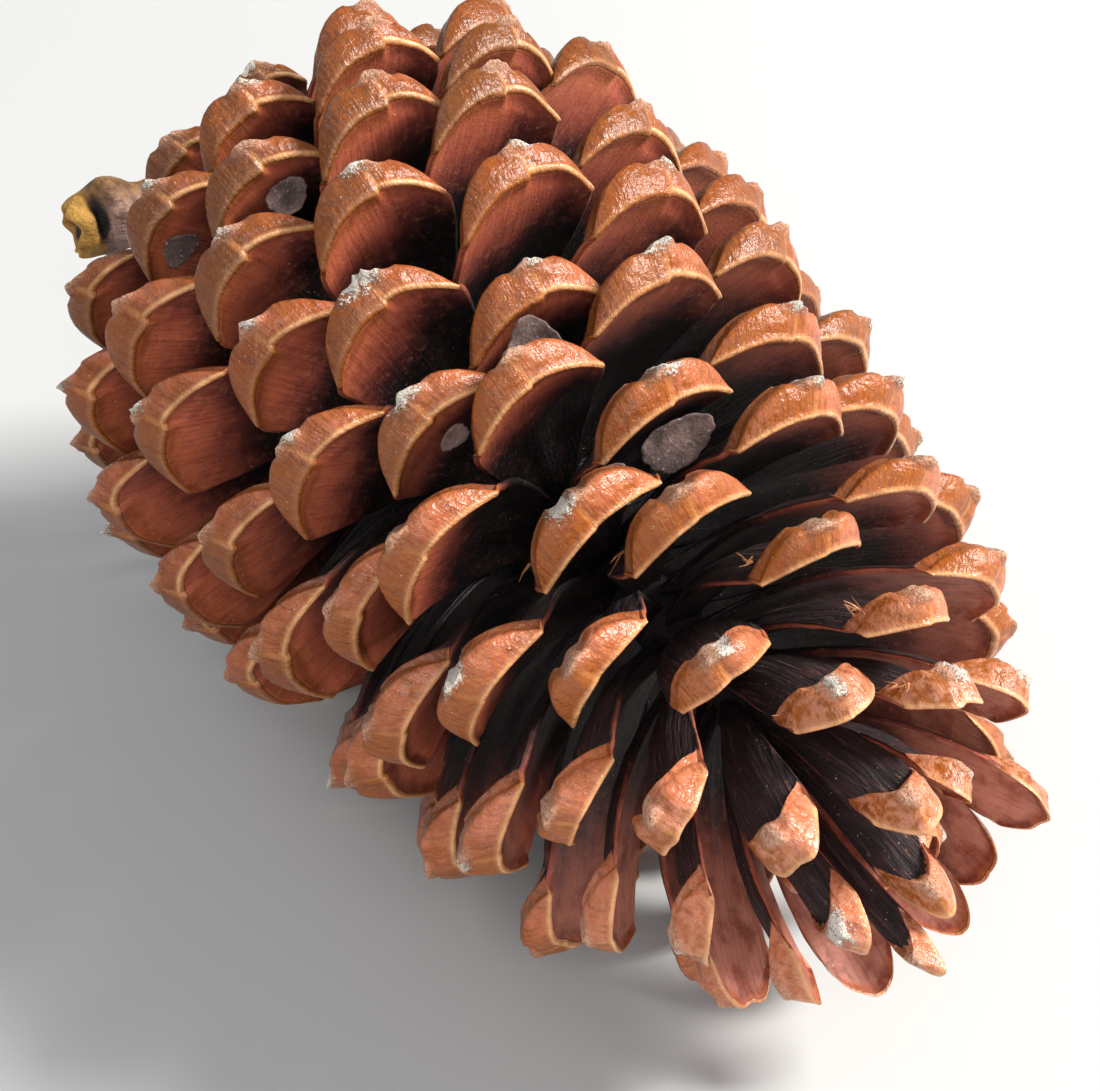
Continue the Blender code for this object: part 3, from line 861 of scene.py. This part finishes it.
def make_stump(material):
    """Bent stump of the stalk, drawn out ring by ring, with a split and a torn end."""
    azimuth = math.radians(STALK_AZIMUTH)
    outward = Vector((math.cos(azimuth), math.sin(azimuth), 0.0))
    centres = [outward * out + Vector((0.0, 0.0, up)) for out, up in STALK_PATH]
    bpy.ops.object.select_all(action="DESELECT")
    bpy.ops.mesh.primitive_circle_add(vertices=STUMP_SIDES, radius=STALK_RADII[0],
                                      fill_type="NGON", location=centres[0])
    stump = bpy.context.object
    stump.name = "stump"
    bpy.ops.object.transform_apply(location=True, rotation=False, scale=False)
    facing = Vector((0.0, 0.0, -1.0))
    bpy.ops.object.mode_set(mode="EDIT")
    bpy.ops.mesh.select_all(action="SELECT")
    for step in range(1, len(centres)):
        after = centres[min(len(centres) - 1, step + 1)]
        heading = (after - centres[step - 1]).normalized()
        turn = facing.rotation_difference(heading).to_matrix()
        grow = STALK_RADII[step] / STALK_RADII[step - 1]
        stretch = centres[step] - centres[step - 1]
        bpy.ops.mesh.extrude_region_move(TRANSFORM_OT_translate={"value": stretch})
        mesh = bmesh.from_edit_mesh(stump.data)
        for vertex in mesh.verts:
            if vertex.select:
                vertex.co = centres[step] + turn @ (vertex.co - centres[step]) * grow
        bmesh.update_edit_mesh(stump.data)
        facing = heading
    for _ in range(2):
        bpy.ops.mesh.inset(thickness=STUMP_INSET)
    bpy.ops.mesh.select_all(action="SELECT")
    bpy.ops.mesh.normals_make_consistent(inside=False)
    bpy.ops.object.mode_set(mode="OBJECT")
    smooth = stump.modifiers.new("smooth", "SUBSURF")
    smooth.levels = 3
    smooth.render_levels = 3
    bpy.ops.object.modifier_apply(modifier=smooth.name)
    tear_stump(stump.data, centres[-1], facing)
    lay_mesh(stump, POSE)
    finish_piece(stump, material, "pine_wood", 60.0, "cone")


def tear_stump(mesh, end, facing):
    """Bark ridges along the stump, a split near its end and torn fibres on its broken face."""
    count = len(mesh.vertices)
    places = np.empty(count * 3)
    mesh.vertices.foreach_get("co", places)
    places = places.reshape(-1, 3)
    toward = np.array((POSE.inverted() @ CAMERA_PLACE) - end)
    axis = np.array(facing)
    from_end = (np.array(end) - places) @ axis
    spoke = places - np.array(end) + np.outer(from_end, axis)
    reach = np.linalg.norm(spoke, axis=1) + 1e-6
    spoke = spoke / reach[:, None]
    near = toward - axis * (toward @ axis)
    near = near / np.linalg.norm(near)
    high = np.cross(axis, near)
    angle = np.arctan2(spoke @ high, spoke @ near)
    draw = random.Random(SEED)
    ridges = 0.16 * np.sin(angle * 7.0 + 0.3 * from_end)
    ridges = ridges + 0.22 * waves(draw, angle * 3.0 + from_end * 0.4, 4, 0.8, 2.6)
    swell = 1.3 * bell(from_end, 4.8, 1.7) * bell(angle, 0.9, 0.9) - 1.3 * ramp(from_end, 6.5, 9.0)
    split = bell(from_end - 0.6 * np.cos(angle * 1.5), 2.7, 0.75) * bell(angle, 0.0, 0.95)
    rim = 1.0 - ramp(np.abs(from_end), 0.0, 1.6)
    torn = waves(draw, spoke @ high * 5.0 + reach * 1.7, 4, 0.7, 2.0)
    torn = torn + waves(draw, spoke @ near * 6.0, 3, 0.6, 1.8)
    inside = 1.0 - ramp(reach, 1.5, 3.2)
    out = (ridges + swell) * ramp(reach, 2.0, 3.4) - 1.9 * split
    places = places + spoke * out[:, None]
    places = places + np.outer(rim * (0.55 * torn - 1.4 * inside), axis)
    mesh.vertices.foreach_set("co", places.ravel())
    whole = np.ones(count)
    bark = ramp(from_end, 2.6, 3.4) * ramp(-angle, -0.9, 0.4)
    fresh = 1.0 - ramp(from_end, 2.2, 3.2)
    # painted shade: the split and the hollow at the middle of the torn end
    dark = np.clip(split * 1.3 + inside * rim, 0.0, 1.0)
    dress_mesh(mesh, "stub", np.stack([fresh, dark, bark, whole], 1))


def stump_finish():
    """Ochre wood at the broken end, bark pinkish above and olive brown below, painted shade in the
    split and in the hollow of the torn end.
    """
    wood = Finish("stump_wood")
    place = wood.add("ShaderNodeTexCoord", None, None, "Object")
    fresh, split, bark = wood.parts(wood.attribute("stub"))
    blotch = wood.noise(place, 420.0, 4.0, 0.6)
    fine = wood.noise(place, 1700.0, 3.0, 0.6)
    strands = wood.noise(place, 900.0, 3.0, 0.6, (0.35, 0.35, 1.6))
    mottle = wood.steps(blotch, 0.35, 0.65)
    ochre = wood.mix(mottle, colour(0.36, 0.17, 0.025), colour(0.58, 0.31, 0.06))
    olive = wood.mix(mottle, colour(0.13, 0.060, 0.018), colour(0.30, 0.15, 0.045))
    speckle = wood.steps(blotch + (fine - 0.5) * 0.5, 0.35, 0.62)
    pink = wood.mix(speckle, colour(0.22, 0.13, 0.11), colour(0.50, 0.30, 0.24))
    body = wood.mix(bark, olive, pink)
    body = wood.mix(fresh, body, ochre)
    body = wood.shade(wood.steps(strands, 0.40, 0.70) * 0.45, body, colour(0.50, 0.42, 0.38))
    # painted shade in the split and the hollow of the torn end
    body = wood.mix(wood.steps(split, 0.25, 0.70), body, colour(0.018, 0.010, 0.007))
    normal = wood.bump(blotch + fine * 0.6 + strands, 0.0006, 0.9)
    return wood.done(Base_Color=body, Roughness=0.8 - blotch * 0.2, Normal=normal)


# Splinters

# Torn fibres at the end of a cap: scale index and how many
SPLINTERS = {97: 1, 105: 2, 113: 3, 121: 6, 126: 2, 129: 9}
SPLINTER_ROWS = 8
SPLINTER_STOUT = 1.3

# Upper end of the seeded turns, in radians
FULL_TURN = 6.28


def model_splinter():
    """Thin curved sliver a millimetre long, drawn from a cone."""
    bpy.ops.object.select_all(action="DESELECT")
    bpy.ops.mesh.primitive_cone_add(vertices=6, radius1=0.13, radius2=0.02, depth=1.0,
                                    location=(0.0, 0.0, 0.5))
    sliver = bpy.context.object
    sliver.name = "splinter_blank"
    bpy.ops.object.transform_apply(location=True, rotation=False, scale=False)
    bpy.ops.object.mode_set(mode="EDIT")
    cut_rows([step / SPLINTER_ROWS for step in range(1, SPLINTER_ROWS)], (0.0, 0.0, 1.0))
    bpy.ops.object.mode_set(mode="OBJECT")
    for vertex in sliver.data.vertices:
        height = vertex.co.z
        vertex.co.x += 0.22 * height * height + 0.02 * math.sin(9.0 * height)
        vertex.co.y *= 0.5
    return sliver


def make_splinters(material):
    """Tufts of slivers at the torn ends of a few caps."""
    blank = model_splinter()
    draw = random.Random(SEED + 3)
    slivers = []
    for index, count in SPLINTERS.items():
        reach = blade_reach(index)
        side = half_width(index) * unevenness(index)[3]
        for _ in range(count):
            start = Vector((reach * draw.uniform(0.78, 0.85), side * 0.84, draw.uniform(-1.2, 0.0)))
            heading = Vector((draw.uniform(-0.2, 0.8), draw.uniform(0.4, 0.9), draw.uniform(-0.7, 0.3)))
            turn = Vector((0.0, 0.0, 1.0)).rotation_difference(heading).to_matrix().to_4x4()
            long = draw.uniform(1.3, 2.9)
            size = Matrix.Diagonal((SPLINTER_STOUT, SPLINTER_STOUT, long, 1.0))
            roll = Matrix.Rotation(draw.uniform(0.0, FULL_TURN), 4, "Z")
            mesh = blank.data.copy()
            mesh.transform(POSE @ scale_frame(index) @ Matrix.Translation(start) @ turn @ roll @ size)
            sliver = bpy.data.objects.new(f"splinter_{index}", mesh)
            bpy.context.scene.collection.objects.link(sliver)
            slivers.append(sliver)
    bpy.data.objects.remove(blank)
    bpy.ops.object.select_all(action="DESELECT")
    for sliver in slivers:
        sliver.select_set(True)
    bpy.context.view_layer.objects.active = slivers[0]
    bpy.ops.object.join()
    piece = bpy.context.object
    piece.name = "splinters"
    finish_piece(piece, material, "pine_wood", 60.0, "cone")


# Seed flakes

HUSK_SIDES = 56
HUSK_RINGS = (0.12, 0.20, 0.25, 0.22)
HUSK_THICKNESS = 0.30
HUSK_POINT = 0.18


def make_flake(name, material):
    """Thin, curved and lobed dry flake in the place of its CAD plate."""
    index, along, _, turn, tilt, length, width = FLAKES[name]
    low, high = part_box(name)
    middle = (Vector(low) + Vector(high)) / 2.0
    draw = random.Random(SEED * 100 + index * 10 + int(along))
    bpy.ops.object.select_all(action="DESELECT")
    bpy.ops.mesh.primitive_circle_add(vertices=HUSK_SIDES, radius=1.0, fill_type="NGON")
    flake = bpy.context.object
    flake.name = name + "_fine"
    bpy.ops.object.mode_set(mode="EDIT")
    bpy.ops.mesh.select_all(action="SELECT")
    for depth in HUSK_RINGS:
        bpy.ops.mesh.inset(thickness=depth)
    bpy.ops.object.mode_set(mode="OBJECT")
    slope = math.atan(bow_slope(index) * (2.0 * along / blade_reach(index) - 1.0))
    lean = Matrix.Rotation(-slope, 4, "Y") @ Matrix.Rotation(math.radians(turn), 4, "Z")
    lean = (POSE @ scale_frame(index)).to_3x3().to_4x4() @ lean
    lean = lean @ Matrix.Rotation(math.radians(tilt), 4, "Y")
    phase = draw.uniform(0.0, FULL_TURN)
    for vertex in flake.data.vertices:
        angle = math.atan2(vertex.co.y, vertex.co.x)
        lobes = 0.07 * abs(math.sin(angle * 5.5 + phase)) + 0.10 * math.sin(angle * 3.0 + 2.0 * phase)
        ragged = FLAKE_SIZE.get(name, 1.0) * (0.95 + lobes + 0.03 * abs(math.sin(angle * 11.0 + phase)))
        x, y = vertex.co.x * ragged, vertex.co.y * ragged
        height = 0.40 * x * x + 0.45 * y * y - 0.3 + 0.16 * math.sin(3.0 * y + phase) * x
        vertex.co = (x * length / 2.0, y * width / 2.0 * (1.0 - HUSK_POINT * x), height)
    wall = flake.modifiers.new("wall", "SOLIDIFY")
    wall.thickness = HUSK_THICKNESS
    wall.offset = 0.0
    smooth = flake.modifiers.new("smooth", "SUBSURF")
    smooth.levels = 1
    smooth.render_levels = 1
    bpy.ops.object.modifier_apply(modifier=wall.name)
    bpy.ops.object.modifier_apply(modifier=smooth.name)
    lay_mesh(flake, Matrix.Translation(middle) @ lean)
    finish_piece(flake, material, "seed_husk", 60.0, name)


def husk_finish():
    """Grey-brown papery husk with pale specks and darker veins."""
    husk = Finish("husk")
    place = husk.add("ShaderNodeTexCoord", None, None, "Object")
    blotch = husk.noise(place, 350.0, 4.0, 0.6)
    fine = husk.noise(place, 2400.0, 3.0, 0.7)
    mottle = husk.steps(blotch, 0.35, 0.65)
    body = husk.mix(mottle, colour(0.058, 0.034, 0.030), colour(0.200, 0.125, 0.108))
    body = husk.mix(husk.steps(fine, 0.60, 0.68) * 0.7, body, colour(0.42, 0.34, 0.31))
    normal = husk.bump(blotch + fine * 0.6, 0.0003, 0.8)
    return husk.done(Base_Color=body, Roughness=0.75, Normal=normal)


# Stage

FLOOR_SIZE = 8.0
FLOOR_COLOUR = colour(0.54, 0.54, 0.53)
SKY_COLOUR = colour(0.85, 0.90, 1.0)
SKY_STRENGTH = 0.28
LIGHT_AIM = Vector((0.0, 0.0, 0.04))

# Lights: name, direction, distance and size in metres, power in watts, tint
LIGHTS = (
    ("key", (0.35, 0.72, 0.75), 0.9, 0.26, 16.0, (1.0, 0.98, 0.95)),
    ("fill", (0.75, -0.55, 0.6), 1.1, 0.7, 6.0, (1.0, 0.98, 0.97)),
    ("side", (-0.6, -0.6, 0.8), 1.0, 0.7, 2.4, (0.97, 0.98, 1.0)),
)


def make_floor():
    """Plain pale floor."""
    bpy.ops.object.select_all(action="DESELECT")
    bpy.ops.mesh.primitive_plane_add(size=FLOOR_SIZE)
    floor = bpy.context.object
    floor.name = "floor"
    paint = Finish("floor_paint")
    floor.data.materials.append(paint.done(Base_Color=FLOOR_COLOUR, Roughness=0.9))


def add_light(name, direction, distance, size, power, tint):
    """Square soft light that looks at the middle of the cone."""
    data = bpy.data.lights.new(name, "AREA")
    data.size = size
    data.energy = power
    data.color = tint
    light = bpy.data.objects.new(name, data)
    bpy.context.scene.collection.objects.link(light)
    light.location = LIGHT_AIM + Vector(direction).normalized() * distance
    light.rotation_euler = (LIGHT_AIM - light.location).to_track_quat("-Z", "Y").to_euler()


def make_camera():
    """Camera at the photograph's viewing angle."""
    data = bpy.data.cameras.new("camera")
    data.sensor_width = 36.0
    data.lens = CAMERA_LENS
    data.clip_start = 0.01
    camera = bpy.data.objects.new("camera", data)
    bpy.context.scene.collection.objects.link(camera)
    toward = CAMERA_RIGHT.cross(CAMERA_UP)
    axes = Matrix((CAMERA_RIGHT, CAMERA_UP, toward)).transposed().to_4x4()
    camera.matrix_world = Matrix.Translation(CAMERA_PLACE) @ axes
    bpy.context.scene.camera = camera


def make_stage():
    """Floor, lights and a dim even sky."""
    make_floor()
    for values in LIGHTS:
        add_light(*values)
    world = bpy.data.worlds.new("world")
    bpy.context.scene.world = world
    world.use_nodes = True
    sky = world.node_tree.nodes["Background"]
    sky.inputs["Color"].default_value = SKY_COLOUR
    sky.inputs["Strength"].default_value = SKY_STRENGTH
    bpy.context.scene.view_settings.view_transform = "Standard"


def main():
    """The whole scene, from the camera to the last flake."""
    make_camera()
    make_stage()
    make_scales(scale_finish())
    core_wood = plain_wood("core_wood", colour(0.005, 0.003, 0.003), colour(0.016, 0.009, 0.008), 0.9)
    make_core(core_wood)
    torn_wood = plain_wood("splinter_wood", colour(0.20, 0.055, 0.020), colour(0.52, 0.22, 0.09), 0.6)
    make_splinters(torn_wood)
    make_stump(stump_finish())
    husk = husk_finish()
    for name in FLAKES:
        make_flake(name, husk)


main()
